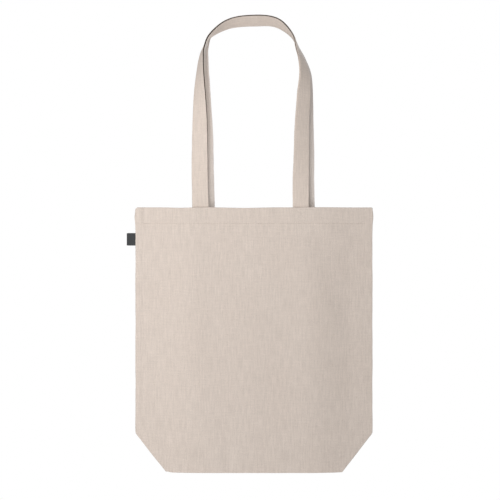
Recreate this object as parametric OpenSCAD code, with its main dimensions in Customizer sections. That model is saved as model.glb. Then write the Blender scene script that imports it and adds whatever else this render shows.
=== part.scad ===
// Canvas tote bag with two shoulder handles, hanging closed from its handles.
// X runs across the bag, -Y is the front, +Z is up. The origin is the hanging point:
// midway between the two handles, level with the underside of the front handle's arch.

/* [Body] */
// Width across the side seams
body_w = 360; // [340:5:400]
// Height from the bottom fold to the hem's top edge
body_h = 402; // [340:2:440]
// Half of the bag's depth at its middle, front face to centre plane
half_depth = 9.1; // [8.5:0.1:12]
// Half of the bag's depth at a side seam
edge_half_depth = 1.1; // [1.1:0.1:1.4]
// Distance from a side seam over which the walls close on each other
edge_run = 30; // [24:1:40]
// Thickness of the canvas
cloth_t = 0.6; // [0.5:0.05:0.7]

/* [Bottom] */
// Height of the tucked-up bottom, half of the opened bag's depth
gusset_rise = 50; // [40:1:55]
// How far in from the side seam each lower corner is cut
corner_in = 46; // [36:1:50]
// How far up the side seam each lower corner is cut
corner_up = 59; // [50:1:66]

/* [Hem and seams] */
// Height of the turned hem
hem_h = 24; // [20:1:30]
// Width of the seam allowance inside each side seam
seam_w = 9; // [6:1:10]
// Width of a stitched thread line
thread_w = 0.8; // [0.5:0.1:1.2]
// Depth at which thread lies in the cloth
thread_depth = 0.3; // [0.2:0.05:0.4]

/* [Handles] */
// Width of a handle's strap
strap_w = 25; // [22:1:27]
// Thickness of the folded strap
strap_t = 2; // [1.4:0.1:2.2]
// Height of the front handle's arch above the hem, to the strap's middle
handle_rise = 281; // [260:1:300]
// How much higher the rear handle's arch stands
rear_lift = 5.5; // [3:0.5:8]
// How far to the right the rear handle's ends are sewn
rear_shift = 9; // [0:1:12]
// Distance of each handle's arch from the centre plane
arch_y = 14.5; // [14:0.5:18]
// Width of the box stitch that holds a handle's end
tack_w = 20; // [14:1:20]
// Height of the same box stitch
tack_h = 18; // [12:1:18]

/* [Label] */
// How far the side label stands out of the seam
label_w = 12.6; // [8:0.2:16]
// Height of the side label
label_h = 19; // [14:1:30]
// Thickness of the folded label
label_t = 0.7; // [0.5:0.1:0.9]
// Distance from the hem's top edge to the label
label_drop = 39; // [28:1:60]

/* [Hidden] */
canvas = [0.84, 0.79, 0.75];
canvas_shade = [0.78, 0.73, 0.69];
thread = [0.88, 0.84, 0.79];
label_grey = [0.24, 0.24, 0.25];

// Clearance between pieces that move against each other
gap = 0.3;
// A cut runs this far past the face that it opens
past = 1;

// The front handle's route: x, height above the hem as a share of handle_rise, and the
// strap's twist in degrees. Its inner edge turns towards the front as it climbs.
handle_route = [
    [-81, 0.000, 0], [-82, 0.160, 10], [-82, 0.315, 16], [-82, 0.460, 28], [-82, 0.600, 42],
    [-81, 0.711, 60], [-79.5, 0.792, 71], [-76.5, 0.850, 82], [-66, 0.922, 92],
    [-37, 0.984, 113], [0, 1.000, 117], [34, 0.990, 108],
    [57.5, 0.922, 91], [65.5, 0.850, 79], [71.5, 0.792, 69], [76, 0.711, 53],
    [75, 0.600, 37], [73, 0.460, 30], [72, 0.315, 21], [71, 0.160, 12], [71, 0.000, 0]
];
// Smoothed points made between two points of the route
steps_between = 4;
last_stop = len(handle_route) - 1;
arch_twist = handle_route[last_stop / 2][2];
left_end_x = handle_route[0].x;
right_end_x = handle_route[last_stop].x;

half_w = body_w / 2;
// The hanging point touches the lower edge of the front handle's tilted arch.
hem_z = -(handle_rise - strap_w / 2 * abs(cos(arch_twist)) - strap_t / 2 * sin(arch_twist));
bottom_z = hem_z - body_h;
// The hem is turned twice, so two more layers lie behind the wall.
hem_t = 2 * cloth_t;
// A handle's sewn end lies against the hem, and its free strap starts just above the fold line.
strap_y = half_depth - cloth_t - hem_t - strap_t / 2;
strap_end_top = 1;
strap_foot = strap_end_top + 2 * gap;

// Y of the front wall's outer face at a distance x from the middle
function wall_y(x) = -edge_half_depth
    - (half_depth - edge_half_depth) * min(1, (half_w - abs(x)) / edge_run);

// A layer of the front wall between two depths behind its outer face
module wall_layer(outer, inner, reach, low, high) {
    stations = [-reach, -(half_w - edge_run), half_w - edge_run, reach];
    translate([0, 0, low])
    linear_extrude(high - low)
    polygon(concat(
        [for (x = stations) [x, wall_y(x) + outer]],
        [for (i = [3:-1:0]) [stations[i], wall_y(stations[i]) + inner]]
    ));
}

// The bag's front outline, with its lower corners cut off
module body_outline() {
    polygon([
        [-half_w + corner_in, bottom_z], [half_w - corner_in, bottom_z],
        [half_w, bottom_z + corner_up], [half_w, hem_z],
        [-half_w, hem_z], [-half_w, bottom_z + corner_up]
    ]);
}

// Stands a flat shape up in the XZ plane, reaching back from y = front to y = back
module upright(front, back) {
    translate([0, back, 0])
    rotate([90, 0, 0])
    linear_extrude(back - front)
    children();
}

// The box stitch that holds one handle end to the hem
module box_stitch() {
    difference() {
        square([tack_w, tack_h], center = true);
        square([tack_w - 2 * thread_w, tack_h - 2 * thread_w], center = true);
    }
    intersection() {
        square([tack_w, tack_h], center = true);
        for (side = [-1, 1])
            rotate(side * atan(tack_h / tack_w))
            square([2 * tack_w, thread_w], center = true);
    }
}

module tack(x, outer, inner) {
    upright(-half_depth + outer, -half_depth + inner)
    translate([x, hem_z - hem_h / 2])
    box_stitch();
}

module hem_thread(outer) {
    wall_layer(outer, thread_depth, half_w - seam_w, hem_z - hem_h - thread_w, hem_z - hem_h);
}

// The front wall; shift moves its two box stitches sideways
module panel(shift) {
    difference() {
        intersection() {
            wall_layer(0, cloth_t, half_w, bottom_z, hem_z);
            upright(-half_depth - past, 0) body_outline();
        }
        hem_thread(-past);
        tack(left_end_x + shift, -past, thread_depth);
        tack(right_end_x + shift, -past, thread_depth);
    }
}

// The turned-in band behind the wall's top edge
module hem() {
    wall_layer(cloth_t, cloth_t + hem_t, half_w - seam_w - 3 * gap, hem_z - hem_h, hem_z);
}

// The part of a strap that is sewn behind the hem
module handle_end(x) {
    translate([x - strap_w / 2, -strap_y - strap_t / 2, hem_z - hem_h])
    cube([strap_w, strap_t, hem_h + strap_end_top]);
}

// Catmull-Rom value between b and c at share t
function spline(a, b, c, d, t) = 0.5 * (2 * b + (c - a) * t
    + (2 * a - 5 * b + 4 * c - d) * t * t + (3 * b - a - 3 * c + d) * t * t * t);

function smooth(t) = t * t * (3 - 2 * t);

// One point of a handle: x, y, z and twist
function handle_point(p, shift, lift) = let (share = p[1], height = share * handle_rise) [
    p.x + shift * (1 - share * share),
    -strap_y - (arch_y - strap_y) * smooth(share),
    hem_z + max(strap_foot, height + lift * share * share),
    p[2]
];

// All the points of a handle, smoothed between the route's points
function handle_points(shift, lift) = let (
    route = [for (p = handle_route) handle_point(p, shift, lift)]
) concat(
    [for (i = [0:last_stop - 1], k = [0:steps_between - 1])
        spline(route[max(0, i - 1)], route[i], route[i + 1], route[min(last_stop, i + 2)],
            k / steps_between)],
    [route[last_stop]]
);

// The strap's four corners at point i; the width turns about the strap's own direction
function strap_ring(points, i) = let (
    last = len(points) - 1,
    before = points[max(0, i - 1)],
    after = points[min(last, i + 1)],
    run = [after.x - before.x, 0, after.z - before.z],
    along = i == 0 ? [0, 0, 1] : i == last ? [0, 0, -1] : run / norm(run),
    twist = points[i][3],
    across = [along.z * cos(twist), -sin(twist), -along.x * cos(twist)],
    through = cross(along, across),
    centre = [points[i].x, points[i].y, points[i].z]
) [for (side = [[1, 1], [-1, 1], [-1, -1], [1, -1]])
    centre + across * side.x * strap_w / 2 + through * side.y * strap_t / 2];

// A flat strap swept through the points
module strap(points) {
    last = len(points) - 1;
    polyhedron(
        points = [for (i = [0:last], corner = strap_ring(points, i)) corner],
        faces = concat(
            [[0, 1, 2, 3], [for (k = [3:-1:0]) 4 * last + k]],
            [for (i = [0:last - 1], k = [0:3])
                [4 * i + k, 4 * i + 4 + k, 4 * i + 4 + (k + 1) % 4]],
            [for (i = [0:last - 1], k = [0:3])
                [4 * i + k, 4 * i + 4 + (k + 1) % 4, 4 * i + (k + 1) % 4]]
        )
    );
}

// One triangle of cloth, thick along Y
module cloth_triangle(a, b, c) {
    back = [0, cloth_t, 0];
    translate([0, -cloth_t / 2, 0])
    polyhedron(
        points = [a, b, c, a + back, b + back, c + back],
        faces = [[2, 1, 0], [3, 4, 5], [0, 1, 4, 3], [1, 2, 5, 4], [2, 0, 3, 5]]
    );
}

// The wall cloth that is tucked in behind the right cut corner, front and rear
module corner_fold() {
    reach = half_depth - 2 * cloth_t - gap;
    low = [half_w - corner_in + gap, -reach, bottom_z];
    seam = [half_w - gap, 0, bottom_z + corner_up - gap];
    ridge = [half_w - corner_in + gap, 0, bottom_z + gusset_rise];
    cloth_triangle(low, seam, ridge);
    mirror([0, 1, 0]) cloth_triangle(low, seam, ridge);
}

// The seam allowance inside the right side seam, thick at its free edge
module side_seam() {
    thin = edge_half_depth - cloth_t - gap;
    thick = 2 * cloth_t;
    translate([0, 0, bottom_z + corner_up])
    linear_extrude(body_h - corner_up)
    polygon([
        [half_w, -thin], [half_w, thin],
        [half_w - seam_w, thick], [half_w - seam_w, -thick]
    ]);
}

module bottom_gusset() {
    reach = half_depth - cloth_t - gap;
    color(canvas_shade)
    rotate([90, 0, 90])
    translate([0, 0, -half_w + corner_in])
    linear_extrude(body_w - 2 * corner_in)
    polygon([
        [-reach, bottom_z], [-reach + 2 * cloth_t, bottom_z],
        [0, bottom_z + gusset_rise - 4 * cloth_t], [reach - 2 * cloth_t, bottom_z],
        [reach, bottom_z], [0, bottom_z + gusset_rise]
    ]);
}

module right_corner_fold() {
    color(canvas_shade) corner_fold();
}

module left_corner_fold() {
    color(canvas_shade) mirror([1, 0, 0]) corner_fold();
}

module right_side_seam() {
    color(canvas_shade) side_seam();
}

module left_side_seam() {
    color(canvas_shade) mirror([1, 0, 0]) side_seam();
}

module front_panel() {
    color(canvas) panel(0);
}

module rear_panel() {
    color(canvas) mirror([0, 1, 0]) panel(rear_shift);
}

module front_hem() {
    color(canvas_shade) hem();
}

module rear_hem() {
    color(canvas_shade) mirror([0, 1, 0]) hem();
}

module front_hem_thread() {
    color(thread) hem_thread(0);
}

module rear_hem_thread() {
    color(thread) mirror([0, 1, 0]) hem_thread(0);
}

module front_left_handle_end() {
    color(canvas) handle_end(left_end_x);
}

module front_right_handle_end() {
    color(canvas) handle_end(right_end_x);
}

module rear_left_handle_end() {
    color(canvas) mirror([0, 1, 0]) handle_end(left_end_x + rear_shift);
}

module rear_right_handle_end() {
    color(canvas) mirror([0, 1, 0]) handle_end(right_end_x + rear_shift);
}

module front_left_tack() {
    color(thread) tack(left_end_x, 0, thread_depth);
}

module front_right_tack() {
    color(thread) tack(right_end_x, 0, thread_depth);
}

module rear_left_tack() {
    color(thread) mirror([0, 1, 0]) tack(left_end_x + rear_shift, 0, thread_depth);
}

module rear_right_tack() {
    color(thread) mirror([0, 1, 0]) tack(right_end_x + rear_shift, 0, thread_depth);
}

module front_strap() {
    color(canvas) strap(handle_points(0, 0));
}

// The rear handle keeps the front one's twist, so the two straps stay parallel
module rear_strap() {
    points = [for (p = handle_points(rear_shift, rear_lift)) [p.x, -p.y, p.z, p[3]]];
    color(canvas) strap(points);
}

module side_label() {
    color(label_grey)
    translate([-half_w - 2 * gap - label_w, -label_t / 2, hem_z - label_drop - label_h])
    cube([label_w, label_t, label_h]);
}

bottom_gusset();
left_corner_fold();
right_corner_fold();
left_side_seam();
right_side_seam();
front_panel();
front_hem();
front_hem_thread();
front_left_handle_end();
front_right_handle_end();
front_left_tack();
front_right_tack();
rear_panel();
rear_hem();
rear_hem_thread();
rear_left_handle_end();
rear_right_handle_end();
rear_left_tack();
rear_right_tack();
front_strap();
rear_strap();
side_label();
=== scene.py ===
"""Looks of the canvas tote bag: cloth walls, handles, stitching, label, light and camera.

Everything is in metres in the CAD frame: X across, -Y front, +Z up, origin at the hanging point.
"""

import math

import bmesh
import bpy
import numpy as np
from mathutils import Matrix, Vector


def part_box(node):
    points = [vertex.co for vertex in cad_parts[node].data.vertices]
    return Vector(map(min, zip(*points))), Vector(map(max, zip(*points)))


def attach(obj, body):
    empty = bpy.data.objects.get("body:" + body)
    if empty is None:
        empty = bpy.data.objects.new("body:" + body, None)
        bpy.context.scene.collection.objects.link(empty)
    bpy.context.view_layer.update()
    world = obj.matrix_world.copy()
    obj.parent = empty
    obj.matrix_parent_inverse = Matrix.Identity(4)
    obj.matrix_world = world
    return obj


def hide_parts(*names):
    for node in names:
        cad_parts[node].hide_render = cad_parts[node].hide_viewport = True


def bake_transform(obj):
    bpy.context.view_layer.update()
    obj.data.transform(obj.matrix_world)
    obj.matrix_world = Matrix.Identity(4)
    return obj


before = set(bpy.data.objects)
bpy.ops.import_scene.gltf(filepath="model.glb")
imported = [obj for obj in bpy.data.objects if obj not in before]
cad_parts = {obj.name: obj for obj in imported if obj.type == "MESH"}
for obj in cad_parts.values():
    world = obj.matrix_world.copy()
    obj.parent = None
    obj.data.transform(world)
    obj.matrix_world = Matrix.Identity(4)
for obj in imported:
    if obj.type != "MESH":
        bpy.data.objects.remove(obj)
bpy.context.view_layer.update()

MM = 0.001

# ---------------------------------------------------------------- sizes, from the frame

panel_low, panel_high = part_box("front_panel")
gusset_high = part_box("bottom_gusset")[1]
HALF_W = panel_high[0]
HEM_Z = panel_high[2]
BOTTOM_Z = panel_low[2]
FACE_Y = -panel_low[1]
HEM_LINE_Z = float(np.mean([corner[2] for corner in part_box("front_hem_thread")]))
CORNER_X = gusset_high[0]
CORNER_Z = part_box("left_side_seam")[0][2]
RIDGE_Z = gusset_high[2]

CLOTH_T = 0.6 * MM
# The hem is the wall and its two turned layers; the strap is four layers.
HEM_T = 3 * CLOTH_T
STRAP_T = 4 * CLOTH_T
STRAP_W = 25 * MM
SEAM_W = 9 * MM
STITCH_PITCH = 3.3 * MM
STITCH_LENGTH = 2.5 * MM
# Radii of a stitch in the hem and in the boxes at the handle ends.
HEM_STITCH_R = 0.36 * MM
BOX_STITCH_R = 0.33 * MM
# The walls close on each other over this distance from a side seam, at the hem and at the bottom.
EDGE_RUN_TOP = 95 * MM
EDGE_RUN_LOW = 105 * MM
# A wall's distance from the middle plane at its side seam, and what the hem adds to it.
EDGE_DEPTH = 1.0 * MM
EDGE_HEM_EXTRA = 0.8 * MM


def smooth(t):
    """0 to 1 with level ends."""
    t = np.clip(t, 0.0, 1.0)
    return t * t * (3 - 2 * t)


def bump(distance, width):
    """A soft ridge, 1 on its line and falling away over width."""
    return np.exp(-((distance / width) ** 2))


# ---------------------------------------------------------------- materials


class Nodes:
    """Short names for building one material's node tree."""

    def __init__(self, name):
        self.material = bpy.data.materials.new(name)
        self.material.use_nodes = True
        self.tree = self.material.node_tree
        self.shader = self.tree.nodes["Principled BSDF"]

    def link(self, source, target):
        self.tree.links.new(source, target)

    def add(self, kind, **settings):
        node = self.tree.nodes.new(kind)
        for key, value in settings.items():
            setattr(node, key, value)
        return node

    def math(self, operation, *values):
        node = self.add("ShaderNodeMath", operation=operation)
        for socket, value in zip(node.inputs, values):
            if isinstance(value, (int, float)):
                socket.default_value = value
            else:
                self.link(value, socket)
        return node.outputs[0]

    def share_of(self, wave):
        """Turns a wave between -1 and 1 into a share between 0 and 1."""
        return self.math("MULTIPLY_ADD", wave, 0.5, 0.5)

    def cloth_uv(self):
        """The cloth's own coordinates in metres: across and along."""
        uv = self.add("ShaderNodeUVMap", uv_map="Cloth")
        return uv.outputs["UV"]

    def scaled(self, vector, across, along):
        node = self.add("ShaderNodeMapping")
        node.inputs["Scale"].default_value = (across, along, 1)
        self.link(vector, node.inputs["Vector"])
        return node.outputs["Vector"]

    def noise(self, vector, scale=1.0, detail=2.0, roughness=0.5):
        node = self.add("ShaderNodeTexNoise")
        node.inputs["Scale"].default_value = scale
        node.inputs["Detail"].default_value = detail
        node.inputs["Roughness"].default_value = roughness
        self.link(vector, node.inputs["Vector"])
        return node.outputs["Fac"]

    def ramp(self, factor, stops):
        node = self.add("ShaderNodeValToRGB")
        elements = node.color_ramp.elements
        while len(elements) < len(stops):
            elements.new(0.5)
        for element, (place, colour) in zip(elements, stops):
            element.position = place
            element.color = (*colour, 1)
        self.link(factor, node.inputs["Fac"])
        return node.outputs["Color"]

    def mix(self, blend_type, factor, a, b):
        node = self.add("ShaderNodeMix", data_type="RGBA", blend_type=blend_type)
        for socket, value in ((node.inputs[0], factor), (node.inputs[6], a), (node.inputs[7], b)):
            if isinstance(value, (int, float)):
                socket.default_value = value
            elif isinstance(value, tuple):
                socket.default_value = (*value, 1)
            else:
                self.link(value, socket)
        return node.outputs[2]

    def bump(self, height, strength, distance, before=None):
        node = self.add("ShaderNodeBump")
        node.inputs["Strength"].default_value = strength
        node.inputs["Distance"].default_value = distance
        self.link(height, node.inputs["Height"])
        if before is not None:
            self.link(before, node.inputs["Normal"])
        return node.outputs["Normal"]

    def weave(self, uv, pitch):
        """Height of a plain weave: round threads that pass over and under each other."""
        split = self.add("ShaderNodeSeparateXYZ")
        self.link(uv, split.inputs[0])
        waves = []
        for socket in (split.outputs["X"], split.outputs["Y"]):
            waves.append(self.math("SINE", self.math("MULTIPLY", socket, math.pi / pitch)))
        return self.share_of(self.math("MULTIPLY", waves[0], waves[1]))


WHITE = (1.0, 1.0, 1.0)


def scale_colour(colour, share):
    return tuple(channel * share for channel in colour)


def greys(low, high, start=0.2, end=0.8):
    """A ramp's two stops, from one share of white to another."""
    return [(start, scale_colour(WHITE, low)), (end, scale_colour(WHITE, high))]


def yarn_shade(spread):
    """A ramp's two stops that darken the yarns at the low end of a noise."""
    return greys(1 - spread, 1.0, start=0.35, end=0.65)


# What the canvas colour is multiplied by in its soft clouds and in flecks of seed husk, and the painted
# shade inside a fold.
WARM_CLOUD = (0.985, 0.978, 0.974)
SEED_FLECK = (0.78, 0.70, 0.60)
PAINTED_FOLD_SHADE = (0.17, 0.145, 0.13)


def canvas_material(name, colour, slub=0.107, painted_fold_shade=None):
    """Unbleached canvas: plain weave, thick and thin yarns, soft mottling and a matte sheen.

    painted_fold_shade names a point attribute that is 1 where cloth lies inside a fold; there the colour
    is darkened as painted shade.
    """
    pitch = 0.8 * MM
    n = Nodes(name)
    uv = n.cloth_uv()
    warp_slubs = n.noise(n.scaled(uv, 480, 44), detail=3.0, roughness=0.6)
    weft_slubs = n.noise(n.scaled(uv, 50, 430), detail=3.0, roughness=0.6)
    grain = n.noise(n.scaled(uv, 700, 560), detail=2.0, roughness=0.7)
    cloud = n.noise(n.scaled(uv, 14, 9), detail=4.0, roughness=0.55)
    flecks = n.noise(n.scaled(uv, 1500, 260), detail=1.0)
    weave = n.weave(uv, pitch)

    tone = n.mix("MULTIPLY", 1.0, colour, n.ramp(warp_slubs, yarn_shade(slub)))
    tone = n.mix("MULTIPLY", 1.0, tone, n.ramp(weft_slubs, yarn_shade(0.5 * slub)))
    tone = n.mix("MULTIPLY", 1.0, tone, n.ramp(grain, yarn_shade(0.9 * slub)))
    tone = n.mix("MULTIPLY", 1.0, tone, n.ramp(cloud, [(0.3, WARM_CLOUD), (0.7, WHITE)]))
    tone = n.mix("MULTIPLY", 0.6, tone, n.ramp(flecks, [(0.24, SEED_FLECK), (0.3, WHITE)]))
    # The weave's low parts, where the threads dip, are darkened: painted shade between the threads.
    tone = n.mix("MULTIPLY", 0.12, tone, n.ramp(weave, greys(0.4, 1.0)))
    # Painted shade: the colour is darkened where the attribute marks cloth inside a fold.
    if painted_fold_shade:
        inside = n.add("ShaderNodeAttribute", attribute_name=painted_fold_shade)
        tone = n.mix("MULTIPLY", inside.outputs["Fac"], tone, PAINTED_FOLD_SHADE)
    n.link(tone, n.shader.inputs["Base Color"])

    yarn = n.math("ADD", n.math("MULTIPLY", warp_slubs, 0.7), n.math("MULTIPLY", weft_slubs, 0.5))
    normal = n.bump(yarn, 0.5, 0.5 * MM)
    normal = n.bump(weave, 0.45, 0.16 * MM, normal)
    n.link(normal, n.shader.inputs["Normal"])
    n.link(n.ramp(grain, greys(0.84, 0.97)), n.shader.inputs["Roughness"])
    n.shader.inputs["Sheen Weight"].default_value = 0.12
    n.shader.inputs["Sheen Roughness"].default_value = 0.6
    n.shader.inputs["Specular IOR Level"].default_value = 0.2
    return n.material


def thread_material(name, colour):
    """Twisted sewing thread, a little glossier than the cloth."""
    n = Nodes(name)
    uv = n.cloth_uv()
    twist = n.noise(n.scaled(uv, 900, 2600), detail=1.0)
    tone = n.ramp(twist, [(0.25, scale_colour(colour, 0.82)), (0.7, colour)])
    n.link(tone, n.shader.inputs["Base Color"])
    n.link(n.bump(twist, 0.4, 0.1 * MM), n.shader.inputs["Normal"])
    n.link(n.ramp(twist, greys(0.6, 0.75)), n.shader.inputs["Roughness"])
    n.shader.inputs["Sheen Weight"].default_value = 0.1
    return n.material


def label_material(name, colour):
    """Tight woven tape with fine ribs and darker woven borders."""
    rib_pitch = 0.5 * MM
    n = Nodes(name)
    uv = n.cloth_uv()
    split = n.add("ShaderNodeSeparateXYZ")
    n.link(uv, split.inputs[0])
    ribs = n.share_of(n.math("SINE", n.math("MULTIPLY", split.outputs["Y"], 2 * math.pi / rib_pitch)))
    fibres = n.noise(n.scaled(uv, 2600, 500), detail=2.0)
    tone = n.ramp(fibres, [(0.3, scale_colour(colour, 0.65)), (0.7, scale_colour(colour, 1.35))])
    border = n.add("ShaderNodeAttribute", attribute_name="border")
    tone = n.mix("MIX", border.outputs["Fac"], tone, scale_colour(colour, 0.45))
    n.link(tone, n.shader.inputs["Base Color"])
    normal = n.bump(fibres, 0.3, 0.1 * MM, n.bump(ribs, 0.35, 0.1 * MM))
    n.link(normal, n.shader.inputs["Normal"])
    n.link(n.ramp(fibres, greys(0.6, 0.8)), n.shader.inputs["Roughness"])
    n.shader.inputs["Sheen Weight"].default_value = 0.15
    return n.material


# The rear strap's canvas is paler than the front one's: painted light, standing in for the light it
# loses in the front strap's shadow.
CANVAS = canvas_material("natural_canvas", (0.72, 0.625, 0.555))
# The front strap's open edge is darkened as painted shade, through its 'inside' attribute.
STRAP_CANVAS = canvas_material("strap_canvas", (0.73, 0.63, 0.555), slub=0.10, painted_fold_shade="inside")
PAINTED_LIGHT_REAR_STRAP_CANVAS = canvas_material("rear_strap_painted_light_canvas", (0.83, 0.75, 0.69), slub=0.10)
INNER_CANVAS = canvas_material("inner_canvas", (0.68, 0.585, 0.515))
THREAD = thread_material("canvas_thread", (0.70, 0.62, 0.55))
LABEL = label_material("label_tape", (0.029, 0.031, 0.033))


# ---------------------------------------------------------------- mesh helpers


def new_piece(name, points, faces, uv, material):
    """A smooth mesh object with its cloth coordinates, in metres, in the UV map."""
    mesh = bpy.data.meshes.new(name)
    mesh.from_pydata(np.asarray(points).tolist(), [], faces)
    layer = mesh.uv_layers.new(name="Cloth")
    corner_vertex = np.empty(len(mesh.loops), dtype=np.int32)
    mesh.loops.foreach_get("vertex_index", corner_vertex)
    layer.data.foreach_set("uv", np.asarray(uv, dtype=np.float32)[corner_vertex].ravel())
    mesh.polygons.foreach_set("use_smooth", np.ones(len(mesh.polygons), dtype=bool))
    mesh.materials.append(material)
    piece = bpy.data.objects.new(name, mesh)
    bpy.context.scene.collection.objects.link(piece)
    return piece


def weld(piece, distance=0.01 * MM):
    """Joins the vertices that lie on each other and drops the faces that this closes up."""
    work = bmesh.new()
    work.from_mesh(piece.data)
    bmesh.ops.remove_doubles(work, verts=work.verts, dist=distance)
    bmesh.ops.dissolve_degenerate(work, edges=work.edges, dist=0.1 * distance)
    work.to_mesh(piece.data)
    work.free()
    return piece


def sharpen_middle(piece):
    """Keeps the cut at x = 0 out of the shading, so that two halves look like one cloth."""
    mesh = piece.data
    at_middle = [abs(vertex.co.x) < 0.001 * MM for vertex in mesh.vertices]
    sharp = [at_middle[edge.vertices[0]] and at_middle[edge.vertices[1]] for edge in mesh.edges]
    attribute = mesh.attributes.new("sharp_edge", "BOOLEAN", "EDGE")
    attribute.data.foreach_set("value", sharp)
    return piece


def grid_faces(rows, columns, wrap=False, flip=False):
    """Quads between rows of vertices; wrap also joins each row's last vertex to its first."""
    faces = []
    for i in range(rows - 1):
        for j in range(columns if wrap else columns - 1):
            k = (j + 1) % columns
            quad = (i * columns + j, (i + 1) * columns + j, (i + 1) * columns + k, i * columns + k)
            faces.append(quad[::-1] if flip else quad)
    return faces


def tube_faces(rows, columns, flip=False):
    """Quads around a closed tube, and one face over each of its ends."""
    first = tuple(range(columns))
    last = tuple((rows - 1) * columns + k for k in reversed(range(columns)))
    ends = [first, last]
    return grid_faces(rows, columns, wrap=True, flip=flip) + [end[::-1] if flip else end for end in ends]


# ---------------------------------------------------------------- the walls

# Soft folds in the cloth: start x, start z below the hem, end x, end z, width, height, in mm.
FRONT_FOLDS = [
    # Broad upright swells and hollows over most of the height.
    (80, -30, 84, -390, 28, 1.3), (148, -30, 150, -330, 22, -1.4), (-84, -40, -78, -370, 30, 1.2),
    (-98, -20, -112, -330, 22, 0.7), (10, -120, -20, -300, 26, 0.5),
    # Drag lines down from the feet of the handles.
    (84, -20, 150, -190, 16, -0.9), (62, -30, 112, -210, 20, 0.7), (-68, -6, -64, -250, 14, -0.6),
    # The hem's swell and crease beside the left handle.
    (-142, 12, -140, -22, 29, 5.5), (-110, -4, -104, -40, 9, -0.8),
    # Short creases above the bottom fold and the cut corners.
    (-130, -330, -132, -398, 9, -0.9), (-40, -345, -38, -400, 8, -0.9),
    (44, -385, 112, -360, 12, -0.9), (98, -350, 104, -400, 7, 0.7),
    # Small creases beside the side seams.
    (168, -90, 172, -230, 7, -0.7), (-150, -230, -158, -330, 10, -0.6),
]
REAR_FOLDS = [
    (-78, -24, -140, -200, 18, -0.9), (76, -10, 70, -260, 15, -0.6), (20, -100, 40, -320, 28, 0.6),
    (120, -330, 128, -398, 9, -0.8), (-60, -350, -52, -400, 8, -0.8), (-160, -210, -166, -330, 9, -0.6),
]
# Broad waviness of the cloth: radians per metre across and up, and height in mm.
WAVES = [(19, 7, 0.30), (41, 13, 0.16), (27, 34, 0.14), (88, 21, 0.07)]


def relief(x, z, folds, phase):
    """How far the cloth stands out of its flat shape, from soft folds and a broad waviness."""
    below = z - HEM_Z
    out = np.zeros_like(x + z)
    for x0, z0, x1, z1, width, height in folds:
        along = np.array([x1 - x0, z1 - z0]) * MM
        length = float(np.hypot(*along))
        dx, dz = x - x0 * MM, below - z0 * MM
        share = (dx * along[0] + dz * along[1]) / length**2
        across = (dx * along[1] - dz * along[0]) / length
        ends = smooth(share / 0.3 + 0.3) * smooth((1 - share) / 0.3 + 0.3)
        out += height * MM * bump(across, width * MM) * ends
    for k, (kx, kz, height) in enumerate(WAVES):
        wave = np.sin(kx * x + kz * z + phase + 1.7 * k) * np.cos(kz * x - 0.6 * kx * z + k)
        out += height * MM * wave
    # The tucked bottom makes short upright ripples just above the bottom fold.
    low = smooth(1 - (z - BOTTOM_Z) / (55 * MM))
    out += 0.22 * MM * low * np.sin(150 * x + 3 * np.sin(31 * x + phase))
    return out


def half_width(z):
    """The wall's half width at a height: straight sides, cut lower corners, a slight hem flare."""
    slope = (HALF_W - CORNER_X) / (CORNER_Z - BOTTOM_Z)
    cut = CORNER_X + slope * (z - BOTTOM_Z)
    # A soft minimum of the two outlines rounds the corner where they cross.
    soft = 0.5 * MM
    width = -soft * np.log(np.exp(-HALF_W / soft) + np.exp(-cut / soft))
    width += 1.1 * MM * bump(z - (HEM_Z - 13 * MM), 9 * MM)
    return width + 0.15 * MM * np.sin(61 * z + 0.6) + 0.1 * MM * np.sin(143 * z)


def seam_ridge(x, z, in_hem):
    """The seam allowance inside shows as a ridge on the left side, and barely on the right."""
    from_seam = HALF_W - np.abs(x)
    height = (0.55 + 0.9 * in_hem) * MM * np.where(x < 0, 1.0, 0.15)
    height = height * np.clip(0.5 + from_seam / (2 * SEAM_W), 0, 1)
    step = SEAM_W + (2.5 + 2 * in_hem) * MM
    above_corner = smooth((z - CORNER_Z) / (12 * MM))
    return height * above_corner * smooth((step - from_seam) / (5 * MM))


def hem_relief(x, above):
    """The hem is thicker, and its stitching pulls a groove, at a height above the stitch line."""
    thicker = 0.35 * MM * smooth((above + 2.6 * MM) / (1.6 * MM))
    pull = 0.75 + 0.25 * np.cos(2 * math.pi * x / STITCH_PITCH)
    return thicker - 0.42 * MM * pull * bump(above, 1.1 * MM)


def wall_depth(x, z, folds, phase):
    """Distance of the wall's outer face from the bag's middle plane."""
    above = z - HEM_LINE_Z
    in_hem = smooth(above / (10 * MM) + 0.6)
    edge = EDGE_DEPTH + EDGE_HEM_EXTRA * in_hem
    run = EDGE_RUN_LOW + (EDGE_RUN_TOP - EDGE_RUN_LOW) * (z - BOTTOM_Z) / (HEM_Z - BOTTOM_Z)
    share = np.clip((HALF_W - np.abs(x)) / run, 0, 1)
    depth = edge + (FACE_Y - edge) * smooth(share) + seam_ridge(x, z, in_hem) + hem_relief(x, above)
    # The folds fade towards the side seams and in the hem.
    spread = smooth(share * 2.5) * (0.35 + 0.65 * smooth(-above / (30 * MM)))
    return depth + relief(x, z, folds, phase) * spread


def wall_heights():
    """Heights of the rows of points, closer together at the hem line and the top edge."""
    hem_low = HEM_LINE_Z - 4 * MM
    hem_high = HEM_LINE_Z + 3 * MM
    top = HEM_Z - HEM_T / 2
    return np.concatenate([
        np.linspace(BOTTOM_Z + CLOTH_T / 2, hem_low, 112, endpoint=False),
        np.linspace(hem_low, hem_high, 18, endpoint=False),
        np.linspace(hem_high, top, 14),
    ])


def wall_columns(width):
    """Distances from the middle: even over the wall, closer together at the side seam."""
    side_zone = 14 * MM
    even = np.linspace(0, 1, 67, endpoint=False)[None, :] * (width[:, None] - side_zone)
    close = np.linspace(side_zone, 0.3 * MM, 20)
    return np.concatenate([even, width[:, None] - close[None, :]], axis=1)


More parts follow.
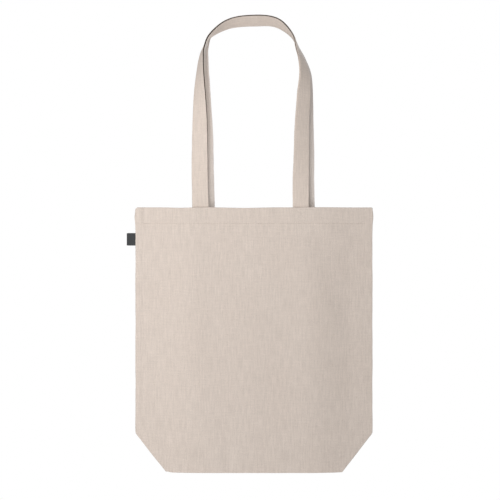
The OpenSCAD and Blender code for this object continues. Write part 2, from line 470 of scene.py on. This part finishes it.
def top_edge(x):
    """The hem's top edge sags a little between the handles and beside the left one, and at its ends."""
    between = 1.0 * MM * bump(x + 10 * MM, 34 * MM)
    beside = 0.8 * MM * bump(x + 110 * MM, 16 * MM)
    drop = np.where(x < 0, 2.8, 0.7) * MM
    corner = drop * smooth((np.abs(x) - (HALF_W - 5 * MM)) / (6 * MM)) ** 2
    return -between - beside - corner + 0.12 * MM * np.sin(67 * x + 1)


def bottom_lift(x, z):
    """The bottom fold rises a little towards its ends, more on the left than on the right."""
    end = np.where(x < 0, 1.5, 0.3) * MM * smooth((np.abs(x) - (CORNER_X - 12 * MM)) / (12 * MM))
    return end * np.clip(1 - (z - BOTTOM_Z) / (26 * MM), 0, 1)


# Rows of points between the outer and the inner skin, round the bottom fold and the top fold.
BOTTOM_FOLD_STEPS = 3
TOP_FOLD_STEPS = 6


def middle_faces(rows, around):
    """The faces that close a half wall at x = 0: between its skins, and over its two folds."""
    inner = [around - 1 - BOTTOM_FOLD_STEPS - i for i in range(rows)]
    faces = [(i, i + 1, inner[i + 1], inner[i]) for i in range(rows - 1)]
    faces.append(tuple(range(rows - 1, inner[-1] + 1)))
    faces.append((0, *range(inner[0], around)))
    return faces


def wall_half(name, side, front, folds, phase):
    """Half of one wall, from the middle to a side seam, as a closed double skin of cloth.

    Each column of points runs up the outer face, over the top fold, down the turned hem and the
    inside, and round the bottom fold. The two halves meet at x = 0.
    """
    z_rows = wall_heights()
    rows = len(z_rows)
    width = half_width(z_rows)
    x = side * np.concatenate([wall_columns(width), width[:, None]], axis=1)
    z = np.repeat(z_rows[:, None], x.shape[1], axis=1)
    outer = wall_depth(x, z, folds, phase)
    hem_inside = smooth((z - (HEM_LINE_Z - 1.8 * MM)) / (0.8 * MM))
    thick = CLOTH_T + (HEM_T - CLOTH_T) * hem_inside
    # The last two columns close the rim: thin it to a rounded edge, then to one line.
    thin = np.ones(x.shape[1])
    thin[-2:] = (0.75, 0.0)
    inset = (1 - thin)[None, :] * thick / 2
    span = thick - 2 * inset
    z = z + bottom_lift(x, z)
    z = z + top_edge(x) * smooth((z - HEM_LINE_Z) / (HEM_Z - HEM_LINE_Z))

    def point_row(row, through=0.0, up=0.0):
        """One row's points, at a share of the way through the cloth and a share of it higher."""
        depth = outer[row] - inset[row] - span[row] * through
        return np.stack([x[row], depth, z[row] + span[row] * up], axis=1)

    loop = [point_row(i) for i in range(rows)]
    for angle in np.linspace(0, math.pi, TOP_FOLD_STEPS + 2)[1:-1]:
        loop.append(point_row(-1, (1 - math.cos(angle)) / 2, math.sin(angle) / 2))
    loop += [point_row(i, through=1.0) for i in reversed(range(rows))]
    for angle in np.linspace(0, math.pi, BOTTOM_FOLD_STEPS + 2)[1:-1]:
        loop.append(point_row(0, (1 + math.cos(angle)) / 2, -math.sin(angle) / 2))
    points = np.stack(loop, axis=1)
    columns, around = points.shape[:2]
    if front:
        points[..., 1] *= -1
    uv = points[..., [0, 2]].reshape(-1, 2)
    flip = (side > 0) != front
    faces = grid_faces(columns, around, wrap=True, flip=flip)
    faces += [face[::-1] if flip else face for face in middle_faces(rows, around)]
    half = weld(new_piece(name, points.reshape(-1, 3), faces, uv, CANVAS))
    return sharpen_middle(half)


def capsules(paths, radius):
    """Points, faces and cloth coordinates of one rounded stitch along each short path."""
    points, faces, uv = [], [], []
    # Share of the stitch's length, and its thickness there as a share of the radius.
    profile = [(0.0, 0.05), (0.08, 0.7), (0.25, 1.0), (0.5, 1.08), (0.75, 1.0), (0.92, 0.7), (1.0, 0.05)]
    squash = 0.7
    sides = 6
    for start, end, out in paths:
        start, end, out = (np.array(v, dtype=float) for v in (start, end, out))
        run = end - start
        across = np.cross(run / np.linalg.norm(run), out)
        first = len(points)
        for share, size in profile:
            middle = start + run * share
            for k in range(sides):
                turn = 2 * math.pi * k / sides
                offset = across * math.cos(turn) + out * squash * math.sin(turn)
                points.append(middle + offset * size * radius)
                uv.append((turn * radius, share * np.linalg.norm(run)))
        for face in tube_faces(len(profile), sides):
            faces.append(tuple(first + k for k in face))
    return points, faces, uv


def outward(front):
    return (0, -1, 0) if front else (0, 1, 0)


def on_wall(x, z, front, folds, phase, proud=0.12 * MM):
    """A point just proud of the wall's outer face."""
    depth = float(wall_depth(np.array(x), np.array(z), folds, phase)) + proud
    return (x, -depth if front else depth, z)


def hem_stitches(name, side, front, folds, phase):
    """The hem's row of stitches on one half of a wall."""
    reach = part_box("front_hem_thread")[1][0]
    paths = []
    for k in range(int(reach / STITCH_PITCH)):
        start = side * (k + 0.5) * STITCH_PITCH
        end = start + side * STITCH_LENGTH
        wander = 0.12 * MM * math.sin(0.9 * k)
        z = HEM_LINE_Z + wander
        ends = [on_wall(x, z, front, folds, phase) for x in (start, end)]
        paths.append((*ends, outward(front)))
    points, faces, uv = capsules(paths, HEM_STITCH_R)
    return new_piece(name, points, faces, uv, THREAD)


def box_stitches(name, node, front, folds, phase):
    """The box with a cross that holds a handle end: four sides and two diagonals."""
    low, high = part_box(node)
    corners = [(low[0], low[2]), (high[0], low[2]), (high[0], high[2]), (low[0], high[2])]
    sides = list(zip(corners, corners[1:] + corners[:1]))
    cross = [(corners[0], corners[2]), (corners[1], corners[3])]
    paths = []
    for (x0, z0), (x1, z1) in sides + cross:
        length = math.hypot(x1 - x0, z1 - z0)
        count = round(length / STITCH_PITCH)
        for k in range(count):
            ends = []
            for share in ((k + 0.12) / count, (k + 0.88) / count):
                at = (x0 + (x1 - x0) * share, z0 + (z1 - z0) * share)
                ends.append(on_wall(*at, front, folds, phase, proud=0.05 * MM))
            paths.append((*ends, outward(front)))
    points, faces, uv = capsules(paths, BOX_STITCH_R)
    return new_piece(name, points, faces, uv, THREAD)


def build_wall(prefix, front, folds, phase):
    """One wall's cloth and thread: two halves with their hem stitches, and the stitched boxes at the
    handle ends.
    """
    wall = f"{prefix}_wall"
    # Each half is half of the width, and the full height with the turned hem.
    for side, word in ((-1, "left"), (1, "right")):
        half = wall_half(f"{prefix}_wall_{word}_cloth", side, front, folds, phase)
        stitches = hem_stitches(f"{prefix}_hem_{word}_stitches", side, front, folds, phase)
        for piece in (half, stitches):
            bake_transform(piece)
        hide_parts(f"{prefix}_panel", f"{prefix}_hem")
        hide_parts(f"{prefix}_hem_thread")
        tack = f"{prefix}_{word}_tack"
        stitched_box = box_stitches(f"{tack}_stitches", tack, front, folds, phase)
        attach(stitched_box, wall)
        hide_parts(tack)


# ---------------------------------------------------------------- the handles

# The front handle's route, as in the CAD: x in mm, share of the handle's rise, twist in degrees.
HANDLE_ROUTE = [
    (-81, 0.000, 0), (-82, 0.160, 10), (-82, 0.315, 16), (-82, 0.460, 28), (-82, 0.600, 42),
    (-81, 0.711, 60), (-79.5, 0.792, 71), (-76.5, 0.850, 82), (-66, 0.922, 92),
    (-37, 0.984, 113), (0, 1.000, 117), (34, 0.990, 108),
    (57.5, 0.922, 91), (65.5, 0.850, 79), (71.5, 0.792, 69), (76, 0.711, 53),
    (75, 0.600, 37), (73, 0.460, 30), (72, 0.315, 21), (71, 0.160, 12), (71, 0.000, 0),
]
HANDLE_RISE = 281 * MM
# A handle's distance from the middle plane at the top of its arch.
ARCH_Y = 14.5 * MM
# The rear handle's feet are further right than the front one's, and its arch rises higher.
REAR_SHIFT = 9 * MM
REAR_LIFT = 5.5 * MM
# The rear handle's left leg turns a little less than the front one's.
REAR_LAG = 0.2
STRAP_Y = float(np.mean([corner[1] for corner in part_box("rear_left_handle_end")]))
END_LOW_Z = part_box("front_left_handle_end")[0][2]


def spline(points, steps):
    """Catmull-Rom curve through the points."""
    points = np.asarray(points, dtype=float)
    padded = np.vstack([points[:1], points, points[-1:]])
    out = []
    for i in range(len(points) - 1):
        a, b, c, d = padded[i : i + 4]
        for t in np.arange(steps) / steps:
            square = (2 * a - 5 * b + 4 * c - d) * t**2
            cube = (3 * b - a - 3 * c + d) * t**3
            out.append(0.5 * (2 * b + (c - a) * t + square + cube))
    out.append(points[-1])
    return np.array(out)


def distance_along(points):
    """How far along the line through the points each of them lies."""
    steps = np.linalg.norm(np.diff(points, axis=0), axis=1)
    return np.concatenate([[0], np.cumsum(steps)])


def handle_route(shift, lift, lag):
    """x, distance from the middle plane, z and twist along one handle, sewn ends included."""
    route = []
    for x, share, twist in HANDLE_ROUTE:
        away = STRAP_Y + (ARCH_Y - STRAP_Y) * float(smooth(share))
        height = share * HANDLE_RISE + lift * share**2
        if x < 0:
            twist *= 1 - 4 * lag * share * (1 - share)
        route.append((x * MM + shift * (1 - share**2), away, HEM_Z + height, twist))
    route = spline(route, 12)
    sewn = np.linspace(END_LOW_Z, HEM_Z, 9)[:-1]
    first, last = route[0], route[-1]
    start = [(first[0], first[1], z, 0) for z in sewn]
    end = [(last[0], last[1], z, 0) for z in reversed(sewn)]
    return np.vstack([start, route, end])


def strap_section(layer):
    """Outline of the folded strap, across and through, and which points lie inside its fold.

    One long edge is a round fold. The other one is open: it shows two layers of the given thickness
    and the gap between them.
    """
    half_w, half_t = STRAP_W / 2, STRAP_T / 2
    crowned = []
    for share in np.linspace(-1, 1, 15)[1:-1]:
        stitching = 0.10 * MM * float(bump(abs(share) - 0.86, 0.05))
        crowned.append((share * (half_w - 1 * MM), half_t - 0.12 * MM * share**4 - stitching))
    outline = [(-across, through) for across, through in crowned]
    for angle in np.linspace(math.pi / 2, 1.5 * math.pi, 9):
        outline.append((-half_w + half_t * (1 + math.cos(angle)), half_t * math.sin(angle)))
    outline += [(across, -through) for across, through in crowned]
    lip = []
    for angle in np.linspace(0, math.pi, 6):
        across = half_w - layer / 2 * (1 - math.sin(angle))
        lip.append((across, half_t - layer / 2 * (1 - math.cos(angle))))
    deep = 6 * MM
    inner = half_t - layer
    hollow = [(half_w - deep * way, inner * gap) for way, gap in ((0.5, 1.0), (0.9, 0.8), (1.0, 0.4))]
    open_edge = lip + hollow
    outline += [(across, -through) for across, through in open_edge]
    outline += open_edge[::-1]
    # All of the open edge is inside, but for the four points at each lip's outer side; the inside points
    # get painted shade.
    inside = np.zeros(len(outline))
    inside[-2 * len(open_edge) + 4 : -4] = 1.0
    return np.array(outline), inside


def strap_directions(route, length, phase):
    """Unit vectors across the strap and through it, at each point of its route."""
    before = np.vstack([route[:1], route[:-1]])
    after = np.vstack([route[1:], route[-1:]])
    run = (after - before)[:, :3]
    run[:, 1] = 0
    along = run / np.linalg.norm(run, axis=1)[:, None]
    twist = np.radians(route[:, 3]) + 0.02 * np.sin(34 * length + phase) * smooth(length / 0.1)
    level = np.cos(twist)
    across = np.stack([along[:, 2] * level, -np.sin(twist), -along[:, 0] * level], axis=1)
    return across, np.cross(along, across)


def build_handle(prefix, front, shift, lift, lag, phase):
    """One handle strap, sewn ends included, twisting from flat legs to a turned arch."""
    route = handle_route(shift, lift, lag)
    length = distance_along(route[:, :3])
    across, through = strap_directions(route, length, phase)
    middle = route[:, :3].copy()
    if front:
        middle[:, 1] *= -1
    sway = 0.35 * MM * np.sin(47 * length + phase) * smooth((route[:, 2] - HEM_Z) / (30 * MM))
    middle += through * sway[:, None]
    breadth = 1 + 0.010 * np.sin(90 * length + phase) + 0.006 * np.sin(210 * length)
    # The open edge gapes on the left leg and over the arch, and closes on the right leg; the painted
    # shade inside it fades with the gape.
    gape = 1 - 0.9 * smooth((length / length[-1] - 0.56) / 0.11)
    gaping, inside = strap_section(layer=0.34 * MM)
    closed, _ = strap_section(layer=0.46 * STRAP_T)
    flat = closed + (gaping - closed) * gape[:, None, None]
    if not front:
        flat = -flat
    points = middle[:, None, :] + across[:, None, :] * (flat[..., 0] * breadth[:, None])[..., None]
    points = points + through[:, None, :] * flat[..., 1][..., None]
    girth = distance_along(gaping)
    uv = np.stack(np.meshgrid(length, girth, indexing="ij"), axis=-1)[..., ::-1].reshape(-1, 2)
    faces = tube_faces(len(route), len(gaping), flip=True)
    # The rear strap takes the paler canvas, as painted light.
    material = STRAP_CANVAS if front else PAINTED_LIGHT_REAR_STRAP_CANVAS
    strap = new_piece(f"{prefix}_handle_strap", points.reshape(-1, 3), faces, uv, material)
    # The 'inside' attribute marks where the strap's colour is darkened as painted shade, fading with the
    # gape.
    shade = strap.data.attributes.new("inside", "FLOAT", "POINT")
    shade.data.foreach_set("value", np.outer(gape, inside).ravel().astype(np.float32))
    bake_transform(strap)
    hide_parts(f"{prefix}_strap", f"{prefix}_left_handle_end", f"{prefix}_right_handle_end")


# ---------------------------------------------------------------- bottom, corners and side seams


def add_thickness(piece):
    """Gives a single sheet the thickness of the cloth, half to each side."""
    solid = piece.modifiers.new("cloth", "SOLIDIFY")
    solid.thickness = CLOTH_T
    solid.offset = 0


def build_gusset():
    """The bottom cloth, tucked up between the walls to a soft ridge."""
    reach = gusset_high[1]
    rise = RIDGE_Z - BOTTOM_Z
    roundness = math.sqrt(0.002)
    sections = []
    for t in np.linspace(-1, 1, 41):
        fallen = math.hypot(t, roundness) - roundness
        sections.append((t * (reach - CLOTH_T), rise - CLOTH_T / 2 - (rise - 0.8 * MM) * fallen))
    travelled = distance_along(sections)
    xs = np.linspace(-CORNER_X + CLOTH_T, CORNER_X - CLOTH_T, 90)
    # Its ends narrow where the walls close on each other.
    narrowing = (wall_depth(xs, BOTTOM_Z, [], 0.0) - 1.5 * CLOTH_T) / FACE_Y
    points, uv = [], []
    for (y, height), distance in zip(sections, travelled):
        for x, narrow in zip(xs, narrowing):
            ripple = 0.35 * MM * math.sin(70 * x + 2 * y / MM) * (1 - abs(y) / reach)
            points.append((x, y * narrow + 0.4 * ripple, BOTTOM_Z + height + ripple))
            uv.append((x, distance))
    faces = grid_faces(len(sections), len(xs))
    gusset = new_piece("bottom_gusset_cloth", points, faces, uv, INNER_CANVAS)
    add_thickness(gusset)
    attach(gusset, "bag")
    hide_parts("bottom_gusset")


def build_corner(word, side):
    """The wall cloth tucked in behind one cut corner: two triangles that meet at the side seam."""
    inset = 0.5 * MM
    low_z, high_z = BOTTOM_Z + 1 * MM, CORNER_Z - 2 * MM
    roundness = math.sqrt(0.004)
    rows, columns = 25, 21
    points, uv = [], []
    for up in np.linspace(0, 1, rows):
        # This row runs from one wall's cut edge in to the fold, and out to the other wall's.
        z_edge = low_z + up * (high_z - low_z)
        x_edge = float(half_width(z_edge)) - 1.2 * MM
        wall = float(wall_depth(x_edge, z_edge, [], 0.0))
        depth = max(wall - CLOTH_T - inset, 0.2 * MM)
        x_fold = CORNER_X + 1 * MM + up * (HALF_W - CORNER_X - 4 * MM)
        z_fold = RIDGE_Z + up * (high_z - RIDGE_Z)
        for t in np.linspace(-1, 1, columns):
            share = 1 - math.hypot(t, roundness) + roundness * abs(t)
            x = x_edge + (x_fold - x_edge) * share
            z = z_edge + (z_fold - z_edge) * share
            points.append((side * x, depth * t, z))
            uv.append((depth * t, x + z))
    faces = grid_faces(rows, columns, flip=side < 0)
    corner = new_piece(f"{word}_corner_cloth", points, faces, uv, INNER_CANVAS)
    add_thickness(corner)
    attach(corner, "bag")
    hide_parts(f"{word}_corner_fold")


def build_side_seam(word, side):
    """The turned seam allowance inside one side seam, with its overlocked free edge."""
    node_low, node_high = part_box(f"{word}_side_seam")
    outer_x = max(abs(node_low[0]), abs(node_high[0])) - 1.0 * MM
    inner_x = min(abs(node_low[0]), abs(node_high[0])) + 0.4 * MM
    top_z, low_z = node_high[2] - 1.2 * MM, node_low[2]
    # A flat rounded section, thicker at the overlocked edge than at the seam.
    outline = []
    for angle in np.linspace(0, 2 * math.pi, 17)[:-1]:
        share = 0.5 - 0.5 * math.cos(angle)
        outline.append((share, math.sin(angle) * (0.45 + 0.55 * share)))
    rows = np.linspace(low_z, top_z, 260)
    points, uv = [], []
    for k, z in enumerate(rows):
        loop = 0.25 * MM * math.sin(k * math.pi / 2)
        for share, out in outline:
            x = outer_x + (inner_x + loop * share - outer_x) * share
            points.append((side * x, out * 0.6 * MM, z))
            uv.append((x, z))
    faces = tube_faces(len(rows), len(outline), flip=side > 0)
    seam = new_piece(f"{word}_seam_allowance", points, faces, uv, INNER_CANVAS)
    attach(seam, "bag")
    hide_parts(f"{word}_side_seam")


# ---------------------------------------------------------------- the label


def build_label():
    """A folded tab of woven tape, sewn into the left side seam, with no mark on it."""
    low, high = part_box("side_label")
    tip, height = low[0], high[2] - low[2]
    root = -HALF_W + 1.2 * MM
    half_t = 0.30 * MM
    # The section runs out along the front face, round the folded tip and back.
    flat_xs = np.linspace(root, tip + half_t, 15)
    section = [(x, -half_t) for x in flat_xs[:-1]]
    for angle in np.linspace(-math.pi / 2, math.pi / 2, 9):
        section.append((tip + half_t - half_t * math.cos(angle), half_t * math.sin(angle)))
    section += [(x, half_t) for x in flat_xs[-2::-1]]
    rows = np.linspace(0, 1, 31)
    points, uv, border = [], [], []
    for v in rows:
        z = low[2] + v * height
        selvedge = 1.0 if min(v, 1 - v) * height < 0.8 * MM else 0.0
        for x, y in section:
            out = (root - x) / (root - tip)
            bow = -0.9 * MM * out**2 + 0.25 * MM * math.sin(3 * v) * out
            puff = 1 + 0.25 * selvedge
            corner = 0.35 * MM * float(smooth((out - 0.85) / 0.15)) * (2 * v - 1)
            points.append((x, y * puff + bow, z - corner))
            uv.append((x + (0.05 if y > 0 else 0), z))
            tip_border = smooth((out - 0.93) / 0.03)
            border.append(max(selvedge, float(tip_border)))
    faces = tube_faces(len(rows), len(section))
    label = new_piece("side_label_tape", points, faces, uv, LABEL)
    attribute = label.data.attributes.new("border", "FLOAT", "POINT")
    attribute.data.foreach_set("value", np.array(border, dtype=np.float32))
    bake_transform(label)
    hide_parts("side_label")


# ---------------------------------------------------------------- floor, light and camera


FLOOR_REACH = 2400 * MM
FLOOR_BELOW_BAG = 620 * MM
# Strength of the white surround as light; the camera sees it at full white.
AMBIENT = 0.41
# The camera frames this width at the bag's front face, from a little left of its middle.
VIEW_WIDTH = 756 * MM
VIEW_X = -6.0 * MM
VIEW_BELOW_HEM = 64.7 * MM
# The camera's lens and sensor width, in mm.
LENS = 85.0
SENSOR = 36.0


def floor_material():
    """Pale studio floor that melts into the white surround towards its rim."""
    n = Nodes("floor_paint")
    place = n.add("ShaderNodeTexCoord").outputs["Object"]
    mottle = n.ramp(n.noise(place, scale=3.0), greys(0.86, 0.9, start=0.3, end=0.7))
    n.link(mottle, n.shader.inputs["Base Color"])
    n.shader.inputs["Roughness"].default_value = 0.8
    reach = n.add("ShaderNodeVectorMath", operation="LENGTH")
    n.link(place, reach.inputs[0])
    share = n.math("MULTIPLY", reach.outputs["Value"], 1 / FLOOR_REACH)
    white = n.add("ShaderNodeEmission")
    blend = n.add("ShaderNodeMixShader")
    n.link(n.ramp(share, greys(0.0, 1.0, start=0.3, end=0.95)), blend.inputs["Fac"])
    n.link(n.shader.outputs[0], blend.inputs[1])
    n.link(white.outputs[0], blend.inputs[2])
    n.link(blend.outputs[0], n.tree.nodes["Material Output"].inputs["Surface"])
    return n.material


def build_floor():
    """A plain pale floor well below the bag."""
    mesh = bpy.data.meshes.new("floor")
    turns = np.linspace(0, 2 * math.pi, 97)[:-1]
    rim = [(FLOOR_REACH * math.cos(turn), FLOOR_REACH * math.sin(turn), 0) for turn in turns]
    mesh.from_pydata(rim, [], [tuple(range(len(rim)))])
    floor = bpy.data.objects.new("floor", mesh)
    floor.location.z = BOTTOM_Z - FLOOR_BELOW_BAG
    bpy.context.scene.collection.objects.link(floor)
    mesh.materials.append(floor_material())


def build_surround():
    """A white surround that the camera sees brighter than it lights the bag."""
    world = bpy.data.worlds.new("studio")
    world.use_nodes = True
    tree = world.node_tree
    seen = tree.nodes["Background"]
    seen.inputs["Color"].default_value = (1, 1, 1, 1)
    seen.inputs["Strength"].default_value = 1.0
    light = tree.nodes.new("ShaderNodeBackground")
    light.inputs["Color"].default_value = (0.985, 0.99, 1.0, 1)
    light.inputs["Strength"].default_value = AMBIENT
    path = tree.nodes.new("ShaderNodeLightPath")
    pick = tree.nodes.new("ShaderNodeMixShader")
    tree.links.new(path.outputs["Is Camera Ray"], pick.inputs["Fac"])
    tree.links.new(light.outputs[0], pick.inputs[1])
    tree.links.new(seen.outputs[0], pick.inputs[2])
    tree.links.new(pick.outputs[0], tree.nodes["World Output"].inputs["Surface"])
    bpy.context.scene.world = world


def area_light(name, place, target, size, power):
    """A square lamp aimed at a target, which the camera doesn't see."""
    data = bpy.data.lights.new(name, "AREA")
    data.size = size
    data.energy = power
    lamp = bpy.data.objects.new(name, data)
    lamp.location = place
    lamp.visible_camera = False
    aim = bpy.data.objects.new(f"{name}_aim", None)
    aim.location = target
    for item in (lamp, aim):
        bpy.context.scene.collection.objects.link(item)
    follow = lamp.constraints.new("TRACK_TO")
    follow.target = aim
    follow.track_axis = "TRACK_NEGATIVE_Z"
    follow.up_axis = "UP_Y"


def build_lights():
    """A soft key close by on the left, weak fills for the handles and the hem, and a back light."""
    middle = (0, 0, (HEM_Z + BOTTOM_Z) / 2)
    handles = (0, 0, 0.55 * HEM_Z)
    area_light("key", (-0.55, -0.40, -0.45), middle, 0.4, 1.1)
    area_light("handle_fill", (-0.10, -0.60, 0.15), handles, 0.3, 2.3)
    area_light("low_fill", (-0.30, -0.90, -0.90), (0, 0, 0), 0.9, 4.0)
    area_light("back", (0.55, 1.05, -0.10), middle, 0.8, 8.0)


def build_camera():
    """Level and square on, at the distance that gives the framed width at the front face."""
    distance = VIEW_WIDTH * LENS / SENSOR
    data = bpy.data.cameras.new("camera")
    data.lens = LENS
    data.sensor_width = SENSOR
    camera = bpy.data.objects.new("camera", data)
    camera.location = (VIEW_X, -FACE_Y - distance, HEM_Z - VIEW_BELOW_HEM)
    camera.rotation_euler = (math.pi / 2, 0, 0)
    bpy.context.scene.collection.objects.link(camera)
    bpy.context.scene.camera = camera


build_wall("front", front=True, folds=FRONT_FOLDS, phase=0.4)
build_wall("rear", front=False, folds=REAR_FOLDS, phase=2.9)
build_handle("front", front=True, shift=0.0, lift=0.0, lag=0.0, phase=0.3)
build_handle("rear", front=False, shift=REAR_SHIFT, lift=REAR_LIFT, lag=REAR_LAG, phase=1.9)
build_gusset()
for side_word, side_sign in (("left", -1), ("right", 1)):
    build_corner(side_word, side_sign)
    build_side_seam(side_word, side_sign)
build_label()
build_floor()
build_surround()
build_lights()
build_camera()
bpy.context.scene.view_settings.view_transform = "Standard"
